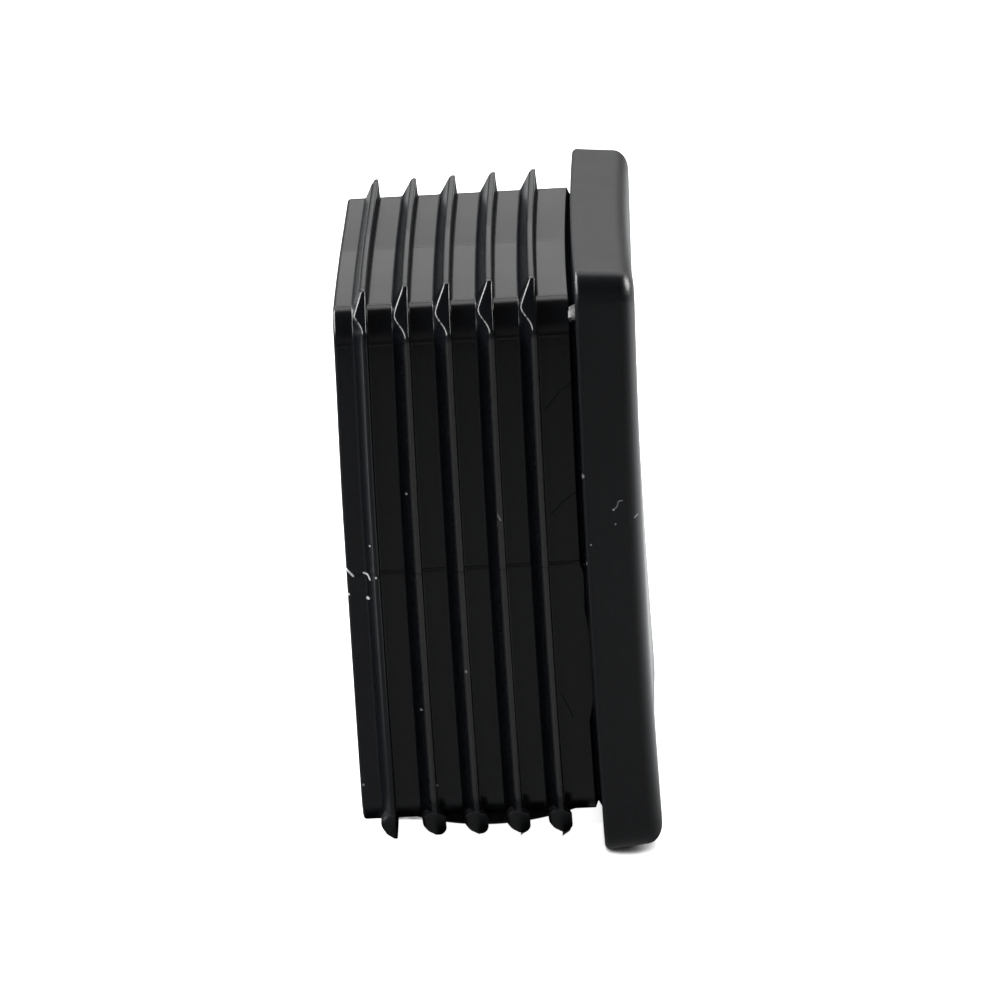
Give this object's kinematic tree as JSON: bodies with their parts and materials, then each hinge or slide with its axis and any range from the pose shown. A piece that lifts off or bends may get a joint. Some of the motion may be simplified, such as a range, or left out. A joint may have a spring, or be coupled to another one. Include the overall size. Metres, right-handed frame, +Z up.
{
  "type": "square tube end cap",
  "caption": "Square ribbed plastic insert: a flat rounded head closes the end of a square tube, and a hollow plug with barbed fins grips it from inside.",
  "frame": {"origin": "middle of the seat, the plane on which the head meets the end of the tube", "axes": "+X along the cap's axis, out of the tube through the head's outer face; the plug points to -X. The cap is square, so Y and Z run across its two pairs of sides, with Z up as it lies on one side"},
  "size_m": [0.0249, 0.05, 0.05],
  "materials": {
    "black_polyethylene": "black moulded low-density polyethylene, satin on the head and glossier between the fins"
  },
  "bodies": {
    "root": {"end_cap": "black_polyethylene"}
  },
  "joints": []
}
